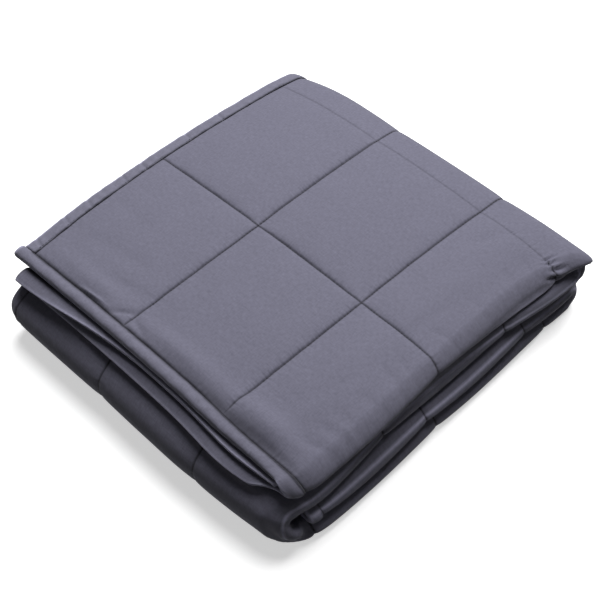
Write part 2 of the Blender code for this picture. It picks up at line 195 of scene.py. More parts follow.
# Unevenness near the seams. depth: how far it rises and falls. pitch: from one pucker to the
# next. reach: how far from the seam it fades out. seed: which puckers.
PUCKERS = (
    {"depth": 0.00060, "pitch": 0.0080, "reach": 0.007, "seed": 3},
    {"depth": 0.00045, "pitch": 0.0190, "reach": 0.030, "seed": 5},
)
PUCKER_START = 0.0012  # how far from the thread they are full
PUCKER_LENGTH = 4  # in reaches
# How a free cell rises from its seams. share: of its fullness. reach: how far from the thread.
RISES = (
    {"share": 0.46, "reach": 0.0022},
    {"share": 0.22, "reach": 0.0110},
)
GENTLE_RISE = {"share": 0.32, "power": 0.7}
# The seam that is pulled taut over the back-right fold, so that it hardly sinks in.
FAINT_ROW = 2 * CELL_ALONG
FAINT_REACH = 0.03
FAINT_SHARE = 0.35
# Single creases in the cover: where on the flat cloth, across and along, degrees from the line
# across, how long and how wide, and how far it sinks, or rises where that is negative.
CREASES = (
    # Short tucks along the lip of the right-hand corner, and the ridges between them.
    (0.3370, 0.3240, 84, 0.0065, 0.0011, 0.0034),
    (0.3415, 0.3215, 80, 0.0070, 0.0011, 0.0036),
    (0.3465, 0.3255, 82, 0.0080, 0.0012, 0.0038),
    (0.3505, 0.3150, 78, 0.0070, 0.0012, 0.0036),
    (0.3392, 0.3230, 82, 0.0070, 0.0012, -0.0018),
    (0.3440, 0.3235, 82, 0.0080, 0.0012, -0.0020),
    (0.3490, 0.3200, 80, 0.0080, 0.0013, -0.0018),
    # The cover bulges beside the front binding, most towards the bottom corner.
    (0.2900, 0.0170, 0, 0.0420, 0.0100, -0.0052),
    (0.2050, 0.0150, 0, 0.0420, 0.0090, -0.0028),
    (0.1650, 0.0140, 0, 0.0300, 0.0080, -0.0018),
    (0.0650, 0.0150, 0, 0.0450, 0.0090, -0.0026),
    (0.3050, 0.0040, 0, 0.0300, 0.0030, 0.0012),
    # The pouch at the roll's near end: a ridge with a hollow on each side.
    (0.3480, 0.7740, 114, 0.0230, 0.0034, -0.0036),
    (0.3550, 0.7790, 112, 0.0200, 0.0036, 0.0036),
    (0.3400, 0.7690, 116, 0.0200, 0.0040, 0.0020),
    (0.3300, 0.7900, 100, 0.0260, 0.0050, 0.0016),
    # A small fold beside the front binding, a quarter of the way along.
    (0.0820, 0.0035, 3, 0.0130, 0.0012, -0.0022),
    # Down the front-right roll-over, where the cloth is pulled to the fold.
    (0.3340, 0.0300, 20, 0.0150, 0.0035, 0.0012),
    (0.3340, 0.0480, 12, 0.0150, 0.0030, 0.0014),
    (0.3350, 0.0640, 8, 0.0170, 0.0030, 0.0011),
    (0.3360, 0.0900, 14, 0.0140, 0.0028, 0.0012),
    (0.3350, 0.1180, -8, 0.0170, 0.0032, 0.0013),
    (0.3360, 0.1350, -14, 0.0140, 0.0026, 0.0010),
    (0.3340, 0.1830, 16, 0.0160, 0.0030, 0.0012),
    (0.3350, 0.2300, 5, 0.0150, 0.0032, 0.0010),
    (0.3350, 0.2750, -10, 0.0150, 0.0030, 0.0012),
    (0.3330, 0.3000, -18, 0.0140, 0.0026, 0.0014),
    # Where the first seam meets the front binding.
    (0.1180, 0.0100, 38, 0.0130, 0.0026, 0.0018),
    (0.1360, 0.0090, -20, 0.0150, 0.0030, 0.0012),
    # Long shallow pulls.
    (0.0950, 0.0280, 14, 0.0420, 0.0060, 0.0010),
    (0.0600, 0.0500, 8, 0.0480, 0.0070, 0.0009),
    (0.0300, 0.0900, -6, 0.0300, 0.0060, 0.0007),
    (0.3000, 0.0700, 74, 0.0400, 0.0080, 0.0009),
    (0.3120, 0.1900, 80, 0.0350, 0.0070, 0.0008),
    (0.2850, 0.3000, 65, 0.0300, 0.0070, 0.0008),
)

# How far the bindings along the long edges swell. They lie flatter than the other two.
FLAT_PUFF = 0.0004
# A binding's section: in how many steps it is drawn, and how squarely it swells.
PROFILE_STEPS = 15
PROFILE_POWER = 0.8
# How much of the front binding's width has rolled under: everywhere, and near the bottom corner.
ROLLED_UNDER = {"all": 0.13, "corner": 0.20, "at": 0.292, "reach": 0.045}
# Their wrinkles. depth: how far they rise and fall. along, out: their size. seed: which ones.
WRINKLES = (
    {"depth": 0.00065, "along": 0.0048, "out": 0.012, "seed": 21},
    {"depth": 0.00055, "along": 0.0190, "out": 0.020, "seed": 22},
)
# Sharp notches across two of them, and in the front one the slanting join of its two lengths.
# at: how far along. deep, wide: its size. slant: how far it runs on along for its way out.
NOTCHES = {
    "back": {
        "at": (0.009, 0.043, 0.071, 0.115, 0.139, 0.196, 0.238),
        "deep": 0.0016,
        "wide": 0.0016,
        "slant": 0.25,
    },
    "front": {
        "at": (0.295,),
        "deep": 0.0012,
        "wide": 0.0012,
        "slant": 0.6,
    },
}

# The thread. share: of a stitch's length that shows. lift: its middle over the seam.
STITCH_SHARE = 0.72
THREAD_LIFT = 0.0002
FIRST_STITCH = 0.002  # from a binding's stitch line to the first stitch of a seam
EDGE_STITCH = 0.0016  # from a binding's edge to its stitch line
EDGE_STITCH_SINK = 0.0009

# The grids. A free place has FINE_CUTS more lines between each two of the coarse ones.
COARSE_PITCH = 0.0098
SEAM_CLOSER = 0.72  # how strongly the lines are drawn towards the seams
FEWEST_STEPS = 4  # between two seams
# Closer grid lines round each turn, in steps to a turn, and in the right-hand corner.
TURN_STEPS = {"wrap": 4, "tuck": 3, "back": 5, "roll": 9, "low_back": 5}
CLOSE_UP = {"across": (0.319, FOLD_ACROSS), "along": (0.316, FOLD_ALONG)}
CLOSE_UP_STEP = 0.0042
FINE_CUTS = 3
BINDING_PITCH = 0.0016
LEAST_STEP = 0.0012
SAME_PLACE = 1e-9
WELD_DISTANCE = 1e-6
BORDER = 0.0015  # how far past its edge seams the cover still takes their shade

# Cotton's colour is uneven. by: the share. size: of a patch on the flat cloth, across and along.
HEATHER = (
    {"by": 0.020, "size": (0.020, 0.026)},
    {"by": 0.080, "size": (0.0014, 0.0045)},
    {"by": 0.070, "size": (0.0045, 0.0014)},
)
HEATHER_RAMP = (0.3, 0.7)
# Tints that the colour is multiplied by: painted shade in the seams, and a painted highlight on rims that
# the light catches.
SEAM_SHADE_TINT = 0.16
RIM_HIGHLIGHT_TINT = 2.80
# How strong the painted shade is on a quilting line, and how far it reaches from a thread and from the
# front binding's stitch line.
SEAM_SHADE = 0.85  # of a quilting line, beside the deeper groove along the front binding
SEAM_LINE = 0.0011
GROOVE_LINE = 0.0024
# The groove holds a wider painted shade near the bottom corner. by: its share. at, along: its middle.
GROOVE_SHADE = {"by": 0.70, "at": 0.270, "along": 0.0030, "long": 0.080, "wide": 0.0055}
# Where the painted highlight lies on a fold's lip, and how wide it is on a binding's outer edge.
LIP_RIM = {"at": 0.625, "wide": 0.03}  # shares of a fold's half turn
EDGE_RIM = 0.0018
# The finest relief is bump: ribs of the weave, soft crumples all over, and fine puckers that the
# thread draws up, with how far from a seam they reach and how long and wide each is.
WEAVE_PITCH, TWIST_PITCH = 0.0013, 0.0006  # of the cloth, and of the thread
WEAVE_BUMP = {"Strength": 0.2, "Distance": 0.00025}
CRUMPLES_PER_METRE = 170.0
CRUMPLE_BUMP = {"Strength": 0.35, "Distance": 0.0012}
PULL_REACH = 0.0065
PUCKER_SIZE = (0.0150, 0.0032)
PUCKER_BUMP = {"Strength": 0.8, "Distance": 0.0016}

# The studio: a lit white table under a softbox that stands behind the blanket.
FLOOR_HALF = 6.0
FLOOR_DROP = 0.0002
FILL_LIGHT = 0.056
TABLE_GLOW = 0.54
SOFTBOX_POWER = 50.0
SOFTBOX_SIZE = 1.6
SOFTBOX_PLACE = (-0.28, 0.66, 1.70)

# The photograph's camera, for 600 by 600 pixels.
CAMERA_PLACE = (0.50088, -0.50758, 0.86162)
CAMERA_TURN = 44.5
CAMERA_RISE = 49.8
CAMERA_LENS = 70.8
CAMERA_SENSOR = 36.0


def colour(code):
    """A linear colour from an sRGB hex value."""
    parts = [int(code[place : place + 2], 16) / 255 for place in (1, 3, 5)]
    return tuple(p / 12.92 if p <= 0.04045 else ((p + 0.055) / 1.055) ** 2.4 for p in parts)


def length_setting(name, description, default, least, most):
    return FloatProperty(
        name=name, description=description, default=default, min=least, max=most, unit="LENGTH"
    )


def colour_setting(name, description, code):
    return FloatVectorProperty(
        name=name,
        description=description,
        default=colour(code),
        size=3,
        min=0.0,
        max=1.0,
        subtype="COLOR",
    )


class BlanketSizes(bpy.types.PropertyGroup):
    """Sizes that change how full and how crumpled the blanket looks"""

    cell_fill: length_setting(
        "Cell fill", "How far a cell's middle stands above its seams", 0.0030, 0.0, 0.006
    )
    binding_puff: length_setting(
        "Binding puff", "How far the binding's upper face swells", 0.0030, 0.0, 0.004
    )
    pucker_share: FloatProperty(
        name="Puckers",
        description="How strong the puckers beside the seams are",
        default=1.0,
        min=0.0,
        max=2.0,
        subtype="FACTOR",
    )
    thread_width: length_setting(
        "Thread width", "How thick the sewing thread is", 0.0007, 0.0002, 0.002
    )
    stitch_length: length_setting(
        "Stitch length", "From one needle hole to the next", 0.0034, 0.002, 0.006
    )


class BlanketColours(bpy.types.PropertyGroup):
    """Colours of the cloth, the thread and the floor"""

    cover: colour_setting("Cover", "Colour of the quilted cotton", "#6b6a7a")
    binding: colour_setting("Binding", "Colour of the cotton strip round the edge", "#6f6e7e")
    thread: colour_setting("Thread", "Colour of the sewing thread", "#4a4955")
    floor: colour_setting("Floor", "Colour of the studio floor", "#f4f4f4")


class Run(namedtuple("Run", "name start length radius origin heading")):
    """One straight run or half turn of a path."""

    @property
    def end(self):
        return self.start + self.length


class Path:
    """A fold seen from its end: straight runs and half turns, measured along its middle."""

    def __init__(self, start, runs):
        self.pieces = []
        point = np.array(start, dtype=float)
        heading = 0.0
        travelled = 0.0
        for name, length, radius in runs:
            self.pieces.append(Run(name, travelled, length, radius, point.copy(), heading))
            if radius:
                turn = length / radius
                left = np.array((-math.sin(heading), math.cos(heading)))
                centre = point + radius * left
                point = centre + (point - centre) @ turned(turn)
                heading += turn
            else:
                point = point + length * np.array((math.cos(heading), math.sin(heading)))
            travelled += length
        self.length = travelled

    def piece(self, name):
        return next(run for run in self.pieces if run.name == name)

    def at(self, places):
        """Points and left-hand normals at these places; past an end the path runs on straight."""
        places = np.asarray(places, dtype=float)
        points = np.zeros(places.shape + (2,))
        normals = np.zeros(places.shape + (2,))
        for run in self.pieces:
            first, last = run is self.pieces[0], run is self.pieces[-1]
            inside = ((places >= run.start) | first) & ((places < run.end) | last)
            along = places[inside] - run.start
            ahead = np.array((math.cos(run.heading), math.sin(run.heading)))
            left = np.array((-math.sin(run.heading), math.cos(run.heading)))
            if run.radius:
                centre = run.origin + run.radius * left
                angle = run.heading + along / run.radius
                left = np.stack((-np.sin(angle), np.cos(angle)), axis=-1)
                points[inside] = centre - run.radius * left
            else:
                points[inside] = run.origin + along[:, None] * ahead
            normals[inside] = left
        return points, normals

    def share(self, places, name):
        """How far along this run of the path: 0 at its start, 1 at its end."""
        run = self.piece(name)
        return (np.asarray(places) - run.start) / run.length

    def bulge(self, places, name):
        """0 at both ends of a half turn, 1 at its middle, and 0 away from it."""
        share = self.share(places, name)
        return np.where((share > 0) & (share < 1), np.sin(np.pi * np.clip(share, 0, 1)), 0.0)

    def seams(self, table):
        """Where the seams of this table lie along the path."""
        found = [0.0, self.length]
        for name, offsets in table.items():
            run = self.piece(name)
            for offset in offsets:
                found.append(run.start + (offset - run.origin[0]) * math.cos(run.heading))
        return np.array(sorted(found))


def turned(angle):
    """A matrix that turns row vectors to the left."""
    return np.array(((math.cos(angle), math.sin(angle)), (-math.sin(angle), math.cos(angle))))


def half_turn(name, radius):
    """A half turn to the left, or to the right where the radius is negative."""
    return (name, math.pi * abs(radius), radius)


ACROSS = Path(
    (0.0, LAYER_PITCH),
    (
        ("top", FOLD_ACROSS, 0.0),
        half_turn("wrap", -LAYER_PITCH),
        ("under", FOLD_ACROSS - INNER_LAYER_START, 0.0),
        half_turn("tuck", -LAYER_PITCH / 2),
        ("inner", INNER_LAYER_END - INNER_LAYER_START, 0.0),
    ),
)
ALONG = Path(
    (0.0, 3.5 * PANEL_PITCH),
    (
        ("top", FOLD_ALONG, 0.0),
        half_turn("back", -PANEL_PITCH / 2),
        ("second", FOLD_ALONG - ROLL_CENTRE, 0.0),
        half_turn("roll", PANEL_PITCH),
        ("bottom", FOLD_ALONG - ROLL_CENTRE, 0.0),
        half_turn("low_back", PANEL_PITCH / 2),
        ("third", FOLD_ALONG - INNER_PANEL_END, 0.0),
    ),
)
SEAMS_ACROSS = ACROSS.seams(COLUMN_SEAMS)
SEAMS_ALONG = ALONG.seams(ROW_SEAMS)
TOP_END = ALONG.piece("second").start  # where the top panel and its back fold end


def smooth(share):
    """0 up to 0, 1 from 1 on, and an even rise between."""
    share = np.clip(share, 0, 1)
    return share**2 * (3 - 2 * share)


def within(path, places, name):
    """1 on this run of a path and 0 off it, with soft ends."""
    run = path.piece(name)
    rise = np.clip((places - run.start) / SOFT_END + 0.5, 0, 1)
    fall = np.clip((run.end - places) / SOFT_END + 0.5, 0, 1)
    if run.start == 0:
        rise = np.ones_like(places)
    return rise * fall


def hill(x, centre, width):
    """1 at this centre, falling off evenly on both sides."""
    return np.exp(-(((x - centre) / width) ** 2))


def faint_row(across, along):
    """1 on the seam that is pulled taut over the back-right fold, fading beside it."""
    return hill(along, FAINT_ROW, FAINT_REACH) * within(ACROSS, across, "top")


def cell_share(places, seams):
    """Where in its cell a place lies, from 0 to 1, and its distance from the nearest seam."""
    index = np.clip(np.searchsorted(seams, places, side="right") - 1, 0, len(seams) - 2)
    width = seams[index + 1] - seams[index]
    share = np.clip((places - seams[index]) / width, 0, 1)
    return share, np.minimum(share, 1 - share) * width


def crown(places, seams):
    """The pressed layers' fullness: 0 on a seam, 1 in the middle between two."""
    share, _ = cell_share(places, seams)
    return (4 * share * (1 - share)) ** CROWN_POWER


def pillow(places, seams):
    """A free cell's fullness: steep beside the seam, where the thread pulls it in, then gentle."""
    share, distance = cell_share(places, seams)
    steep = sum(row["share"] * (1 - np.exp(-distance / row["reach"])) for row in RISES)
    return steep + GENTLE_RISE["share"] * (4 * share * (1 - share)) ** GENTLE_RISE["power"]


def lumps(across, along):
    """The filling is a little fuller in one cell than in the next."""
    waves = [
        row["by"] * np.sin(row["across"] * across + row["along"] * along + row["start"])
        for row in LUMPS
    ]
    return 1 + sum(waves)


def free_face(across, along):
    """1 where the cloth's outer side faces the open air, so that it can swell."""
    top = within(ACROSS, across, "top")
    under = within(ACROSS, across, "under")
    wrap = ACROSS.bulge(across, "wrap")
    near_wrap = 1 - (1 - WRAP_CROWN) * smooth((across - FOLD_ACROSS) / TAUT_REACH + 1)
    near_back = 1 - (1 - BACK_CROWN) * smooth((along - FOLD_ALONG) / TAUT_REACH + 1)
    first = within(ALONG, along, "top") * near_wrap * near_back
    back = BACK_CROWN * ALONG.bulge(along, "back")
    bare = smooth((ALONG.share(along, "roll") - ROLL_PRESSED) / (ROLL_FREE - ROLL_PRESSED))
    turns = under * (bare * ALONG.bulge(along, "roll") + ALONG.bulge(along, "low_back"))
    return np.clip(top * (first + back) + WRAP_CROWN * wrap + turns, 0, 1)


def on_floor(across, along):
    """1 on the side that the bundle rests on."""
    return within(ACROSS, across, "under") * within(ALONG, along, "bottom")


def unevenness(x, y, seed):
    """Smooth, repeatable noise from -1 to 1, one bump to a unit."""
    size = 128
    table = np.random.default_rng(seed).uniform(-1, 1, (size, size))
    left, low = np.floor(x).astype(int), np.floor(y).astype(int)
    u, v = smooth(x - left), smooth(y - low)
    corner = [[table[(left + i) % size, (low + j) % size] for j in (0, 1)] for i in (0, 1)]
    lower = corner[0][0] * (1 - u) + corner[1][0] * u
    upper = corner[0][1] * (1 - u) + corner[1][1] * u
    return lower * (1 - v) + upper * v


def puckers(across, along):
    """Short creases that run away from each seam, and the longer pulls between them."""
    found = np.zeros_like(across)
    for seams, from_seam, beside in ((SEAMS_ACROSS, across, along), (SEAMS_ALONG, along, across)):
        _, distance = cell_share(from_seam, seams)
        rise = 1 - np.exp(-distance / PUCKER_START)
        for row in PUCKERS:
            out = from_seam / (PUCKER_LENGTH * row["reach"])
            pattern = unevenness(beside / row["pitch"], out, row["seed"])
            found += row["depth"] * pattern * np.exp(-distance / row["reach"]) * rise
    return found


def creases(across, along):
    """How far the single creases sink the cloth here, as a change in height."""
    found = np.zeros_like(across)
    for at_across, at_along, degrees, long, wide, deep in CREASES:
        turn = math.radians(degrees)
        x, y = across - at_across, along - at_along
        run = x * math.cos(turn) + y * math.sin(turn)
        beside = y * math.cos(turn) - x * math.sin(turn)
        found -= deep * np.exp(-((run / long) ** 2) - (beside / wide) ** 2)
    return found


def inside_edges(across, along):
    """0 at the four edges' stitch lines, rising to 1 a little way in."""
    lines = ((across, 0.0), (across, ACROSS.length), (along, 0.0), (along, ALONG.length))
    return np.min([smooth(np.abs(places - line) / TAUT_REACH) for places, line in lines], axis=0)


def skins(across, along, fill, share):
    """Heights of the cloth's outer and inner sides over its middle."""
    pressed = crown(across, SEAMS_ACROSS) * crown(along, SEAMS_ALONG)
    half = SEAM_HALF + (CROWN_HALF - SEAM_HALF) * pressed
    rows = pillow(along, SEAMS_ALONG)
    rows = rows + (1 - rows) * (1 - FAINT_SHARE) * faint_row(across, along)
    full = pillow(across, SEAMS_ACROSS) * rows
    free = free_face(across, along)
    on_roll = within(ACROSS, across, "under") * (along > TOP_END)
    full = full + (1 - full) * ROLL_SHALLOW * on_roll * inside_edges(across, along)
    soft = SEAM_HALF + (CROWN_HALF - SEAM_HALF + fill * lumps(across, along)) * full
    soft = soft + share * puckers(across, along)
    outer = half * (1 - free) + np.maximum(soft, 0.5 * SEAM_HALF) * free
    outer = outer + share * creases(across, along)
    floor = on_floor(across, along)
    return outer * (1 - floor) + CROWN_HALF * floor, -half


def swing(wave, places):
    """A wave of this height, turn and start."""
    return wave["by"] * np.sin(wave["turn"] * places + wave["start"])


def settle(points):
    """The slack of a real fold: waves in the bands, and corners that sink, lift or draw in."""
    place = {axis: points[..., index].copy() for index, axis in enumerate("xyz")}
    level = (place["z"] - UNDERSIDE) / PANEL_PITCH
    front_right = np.clip((place["x"] - BANDS_START) / BANDS_RISE, 0, 1) ** 2
    for wave in BAND_WAVES:
        near = np.clip(1 - np.abs(level - wave["level"]), 0, 1)
        phase = 2 * np.pi * (place["y"] - wave["crest"]) / wave["length"]
        place["z"] += wave["depth"] * near * front_right * np.cos(phase)
    for moves, by, low, full, (x, y), (wide, deep) in SLACKS:
        share = np.clip((level - low) / (full - low), 0, 1)
        reach = hill(place["x"], x, wide) * hill(place["y"], y, deep)
        place[moves] += by * share * reach
    off_floor = np.clip(level, 0, 1)
    below_top = np.clip(PANELS - level, 0, 1)
    place["x"] += front_right * off_floor * swing(BAND_LEAN, level)
    place["y"] += below_top * swing(EDGE_SWAY, place["x"])
    return np.stack((place["x"], place["y"], place["z"]), axis=-1)


def hanging(across):
    """1 on the under layer, 0 on the top layer and along most of the inner one."""
    rise = smooth((across - ACROSS.piece("under").start) / OVERHANG_RISE)
    return rise * (1 - smooth((across - ACROSS.piece("inner").start) / OVERHANG_FALL))


def draped(along, hang, y, z):
    """Bends what hangs out past the roll's centre down over it."""
    beyond = np.where(along < ROLL_CENTRE, np.clip(ROLL_CENTRE - y, 0, None), 0.0)
    angle = hang * beyond / HANG_RADIUS
    radius = z - ROLL_HEIGHT
    y = y + HANG_RADIUS * angle - radius * np.sin(angle)
    return y, z - radius * (1 - np.cos(angle))


def folded(across, along, height):
    """Places of the flat blanket, in metres, where they lie in the folded one."""
    creep = EDGE_CREEP * smooth((along - CREEP_START) / (CREEP_END - CREEP_START))
    creep = creep * np.clip(1 - across / (CREEP_REACH * FOLD_ACROSS), 0, 1)
    middle, normal = ACROSS.at(across + creep)
    x = middle[..., 0] + height * normal[..., 0]
    lift = middle[..., 1] + height * normal[..., 1]
    hang = hanging(across)
    along = along - OVERHANG * hang * np.clip(1 - along / OVERHANG_REACH, 0, 1) ** 2
    spine, up = ALONG.at(along)
    y = spine[..., 0] + lift * up[..., 0]
    z = spine[..., 1] + lift * up[..., 1]
    y, z = draped(along, hang, y, z)
    lip = ACROSS.bulge(across, "wrap") * np.abs(up[..., 1])
    z = z - LIP_DROOP * lip * np.clip((z - UNDERSIDE) / PANEL_PITCH, 0, 1)
    x = x + LIP_POINT * lip**8
    return settle(np.stack((x, y, z), axis=-1)) + TO_ORIGIN


def nearest(places, seams):
    """The distance from each place to the nearest seam."""
    return np.abs(np.asarray(places)[:, None] - seams).min(axis=1)


def seam_painted_shade(across, along):
    """1 on a thread and 0 away from it, where the cloth is drawn in and painted shade darkens it, as along
    the groove beside the front binding.
    """
    columns = hill(nearest(across, SEAMS_ACROSS), 0, SEAM_LINE)
    rows = hill(nearest(along, SEAMS_ALONG), 0, SEAM_LINE)
    rows = rows * (1 - (1 - FAINT_SHARE) * faint_row(across, along))
    quilted = SEAM_SHADE * np.maximum(columns, rows) * within_border(across, along)
    front = hill(along, 0, GROOVE_LINE)
    deeper = GROOVE_SHADE["by"] * hill(along, GROOVE_SHADE["along"], GROOVE_SHADE["wide"])
    deeper = deeper * hill(across, GROOVE_SHADE["at"], GROOVE_SHADE["long"])
    front = np.maximum(front, deeper) * (across > 0) * (across < ACROSS.length)
    return np.maximum(quilted, front)


def within_border(across, along):
    """True on the cover, as far as the stitch lines of the bindings."""
    width = (across > -BORDER) & (across < ACROSS.length + BORDER)
    return width & (along > -BORDER) & (along < ALONG.length + BORDER)


def rim_painted_highlight(across, along):
    """1 on the lips of the folds and the outer edges of the bindings, where a painted highlight stands for
    the light that catches them.
    """
    lips = hill(ACROSS.share(across, "wrap"), LIP_RIM["at"], LIP_RIM["wide"])
    past = [-across, across - ACROSS.length, -along, along - ALONG.length]
    edges = sum(hill(out, BINDING_WIDTH, EDGE_RIM) for out in past)
    return np.clip(lips + edges, 0, 1)


def pulls(places, seams, across, along):
    """1 beside these seams and 0 away from them: how far the thread gathers the cloth."""
    return np.exp(-nearest(places, seams) / PULL_REACH) * within_border(across, along)


def grid_lines(path, seams, close_up):
    """Grid lines along a path: one on every seam, closer beside it, and more round each turn."""
    lines = []
    for first, last in zip(seams, seams[1:]):
        steps = max(FEWEST_STEPS, round((last - first) / COARSE_PITCH))
        share = np.arange(steps) / steps
        drawn_in = SEAM_CLOSER * np.sin(2 * np.pi * share) / (2 * np.pi)
        lines.extend(first + (last - first) * (share - drawn_in))
    lines.append(seams[-1])
    lines.extend(np.arange(*close_up, CLOSE_UP_STEP))
    for run in path.pieces:
        if run.radius:
            low, high = run.start - LEAST_STEP, run.end + LEAST_STEP
            lines = [line for line in lines if not low < line < high]
            steps = TURN_STEPS[run.name]
            lines.extend(run.start + run.length * np.arange(steps + 1) / steps)
            lines.extend(seam for seam in seams if run.start < seam < run.end)
    lines = sorted(lines)
    kept = [lines[0]]
    for line in lines[1:]:
        if line - kept[-1] > LEAST_STEP:
            kept.append(line)
        elif np.min(np.abs(seams - line)) < SAME_PLACE:
            kept[-1] = line
    return np.array([-HEM_WIDTH, *kept, path.length + HEM_WIDTH])


def place_grid(bm, columns, rows, side):
    """A grid whose corners hold their place on the flat cloth, and the side they are on."""
    wide, long = len(columns) - 1, len(rows) - 1
    made = bmesh.ops.create_grid(bm, x_segments=wide, y_segments=long, size=1.0)
    for vertex in made["verts"]:
        column = round((vertex.co.x + 1) / 2 * wide)
        row = round((vertex.co.y + 1) / 2 * long)
        vertex.co = (columns[column], rows[row], side)


def shows(across, along):
    """Where the outer side is seen, so that it needs a close grid."""
    on_top = across < FOLD_ACROSS and along < TOP_END
    at_side = any(0 < ACROSS.share(across, name) < 1 for name in ("wrap", "tuck"))
    below = 0 < ACROSS.share(across, "under") < 1
    at_turn = any(0 < ALONG.share(along, name) < 1 for name in ("roll", "low_back"))
    return on_top or at_side or (below and at_turn)


def piece(name, bm, material, replaced):
    bmesh.ops.recalc_face_normals(bm, faces=bm.faces)
    bm.verts.index_update()
    across, along, height = np.array([vertex.co[:] for vertex in bm.verts]).T
    uv = bm.loops.layers.uv.new("flat")
    for face in bm.faces:
        face.smooth = True
        for loop in face.loops:
            loop[uv].uv = loop.vert.co[:2]
    for vertex, place in zip(bm.verts, folded(across, along, height)):
        vertex.co = place
    mesh = bpy.data.meshes.new(name)
    bm.to_mesh(mesh)
    bm.free()
    # The seam and rim marks paint shade and a highlight into the cotton's colour; the pulls only shape its
    # bump.
    marks = {
        "seam": seam_painted_shade(across, along),
        "rim": rim_painted_highlight(across, along),
        "pull_columns": pulls(across, SEAMS_ACROSS, across, along),
        "pull_rows": pulls(along, SEAMS_ALONG, across, along),
    }
    for mark, values in marks.items():
        mesh.attributes.new(mark, "FLOAT", "POINT").data.foreach_set("value", values.astype(np.float32))
    mesh.materials.append(material)
    made = bpy.data.objects.new(name, mesh)
    bpy.context.scene.collection.objects.link(made)
    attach(made, "root")
    if replaced:
        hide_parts(replaced)


def lay_out(bm, places):
    """Moves every corner to what this function of its three numbers gives."""
    raw = np.array([vertex.co[:] for vertex in bm.verts])
    for vertex, place in zip(bm.verts, np.stack(places(*raw.T), axis=-1)):
        vertex.co = place


def add_node(tree, kind, settings=None, inputs=None):
    """Adds a shader node, with its settings and its inputs: values, or the sockets they come from."""
    node = tree.nodes.new(kind)
    for name, value in (settings or {}).items():
        setattr(node, name, value)
    for name, value in (inputs or {}).items():
        if isinstance(value, bpy.types.NodeSocket):
            tree.links.new(value, node.inputs[name])
        else:
            node.inputs[name].default_value = value
    return node


def patches(tree, flat, size, detail):
    """Noise whose patches have this size, in metres across and along the flat cloth."""
    scale = [1 / side for side in size] + [1]
    stretched = add_node(tree, "ShaderNodeMapping", None, {"Vector": flat, "Scale": scale}).outputs[0]
    inputs = {"Vector": stretched, "Scale": 1.0, "Detail": detail}
    return add_node(tree, "ShaderNodeTexNoise", None, inputs).outputs["Fac"]


def product(tree, first, second):
    """One socket's value times another's."""
    inputs = {0: first, 1: second}
    return add_node(tree, "ShaderNodeMath", {"operation": "MULTIPLY"}, inputs).outputs[0]


def cotton(name, base, thread_pitch, roughness):
    """Plain-woven cotton: matt, with the weave's ribs and slightly uneven dye.

    Its threads lie about 0.4 mm apart, too fine for the render, so they are drawn coarser.
    """
    material = bpy.data.materials.new(name)
    material.use_nodes = True
    tree = material.node_tree
    shader = tree.nodes["Principled BSDF"]
    flat = add_node(tree, "ShaderNodeUVMap", {"uv_map": "flat"}).outputs["UV"]
    # A wave texture has 20 radians to a unit at scale 1.
    scale = 2 * math.pi / (20 * thread_pitch)
    waves = {"Vector": flat, "Scale": scale, "Distortion": 0.8, "Detail": 1.0}
    ribs = [
        add_node(tree, "ShaderNodeTexWave", {"bands_direction": direction}, waves).outputs["Fac"]
        for direction in ("X", "Y")
    ]
    colour_now = None
    for layer in HEATHER:
        noise = patches(tree, flat, layer["size"], 2.0)
        ramp = add_node(tree, "ShaderNodeValToRGB", None, {"Fac": noise})
        start = base if colour_now is None else (1.0, 1.0, 1.0)
        for element, place, side in zip(ramp.color_ramp.elements, HEATHER_RAMP, (-1, 1)):
            element.position = place
            element.color = (*((1 + side * layer["by"]) * part for part in start), 1.0)
        dyed = ramp.outputs["Color"]
        colour_now = dyed if colour_now is None else tinted(tree, colour_now, 1.0, dyed)
    # Painted shade in the seams and the front groove, and a painted highlight on the folds' lips and the
    # bindings' edges.
    for mark, shade in (("seam", SEAM_SHADE_TINT), ("rim", RIM_HIGHLIGHT_TINT)):
        share = add_node(tree, "ShaderNodeAttribute", {"attribute_name": mark}).outputs["Fac"]
        colour_now = tinted(tree, colour_now, share, (shade, shade, shade, 1.0))
    tree.links.new(colour_now, shader.inputs["Base Color"])
    inputs = {"Vector": flat, "Scale": CRUMPLES_PER_METRE, "Detail": 3.0}
    crumples = add_node(tree, "ShaderNodeTexNoise", None, inputs).outputs["Fac"]
    reliefs = [(product(tree, *ribs), WEAVE_BUMP), (crumples, CRUMPLE_BUMP)]
    for mark, size in (("pull_columns", PUCKER_SIZE), ("pull_rows", PUCKER_SIZE[::-1])):
        pull = add_node(tree, "ShaderNodeAttribute", {"attribute_name": mark}).outputs["Fac"]
        reliefs.append((product(tree, patches(tree, flat, size, 1.0), pull), PUCKER_BUMP))
    below = {}
    for height, relief in reliefs:
        bump = add_node(tree, "ShaderNodeBump", None, {"Height": height, **relief, **below})
        below = {"Normal": bump.outputs["Normal"]}
    tree.links.new(below["Normal"], shader.inputs["Normal"])
    shader.inputs["Roughness"].default_value = roughness
    shader.inputs["Specular IOR Level"].default_value = 0.25
    shader.inputs["Sheen Weight"].default_value = 0.10
    shader.inputs["Sheen Roughness"].default_value = 0.5
    return material


def tinted(tree, colour_socket, share, tint):
    """The colour times this tint, as far as the share says."""
    mixed = add_node(
        tree,
        "ShaderNodeMixRGB",
        {"blend_type": "MULTIPLY"},
        {"Fac": share, "Color1": colour_socket, "Color2": tint},
    )
    return mixed.outputs["Color"]


def plain(name, base, roughness, glow):
    """A smooth, even finish, lit from inside by this much."""
    material = bpy.data.materials.new(name)
    material.use_nodes = True
    shader = material.node_tree.nodes["Principled BSDF"]
    shader.inputs["Base Color"].default_value = (*base, 1.0)
    shader.inputs["Roughness"].default_value = roughness
    shader.inputs["Emission Color"].default_value = (1.0, 1.0, 1.0, 1.0)
    shader.inputs["Emission Strength"].default_value = glow
    return material


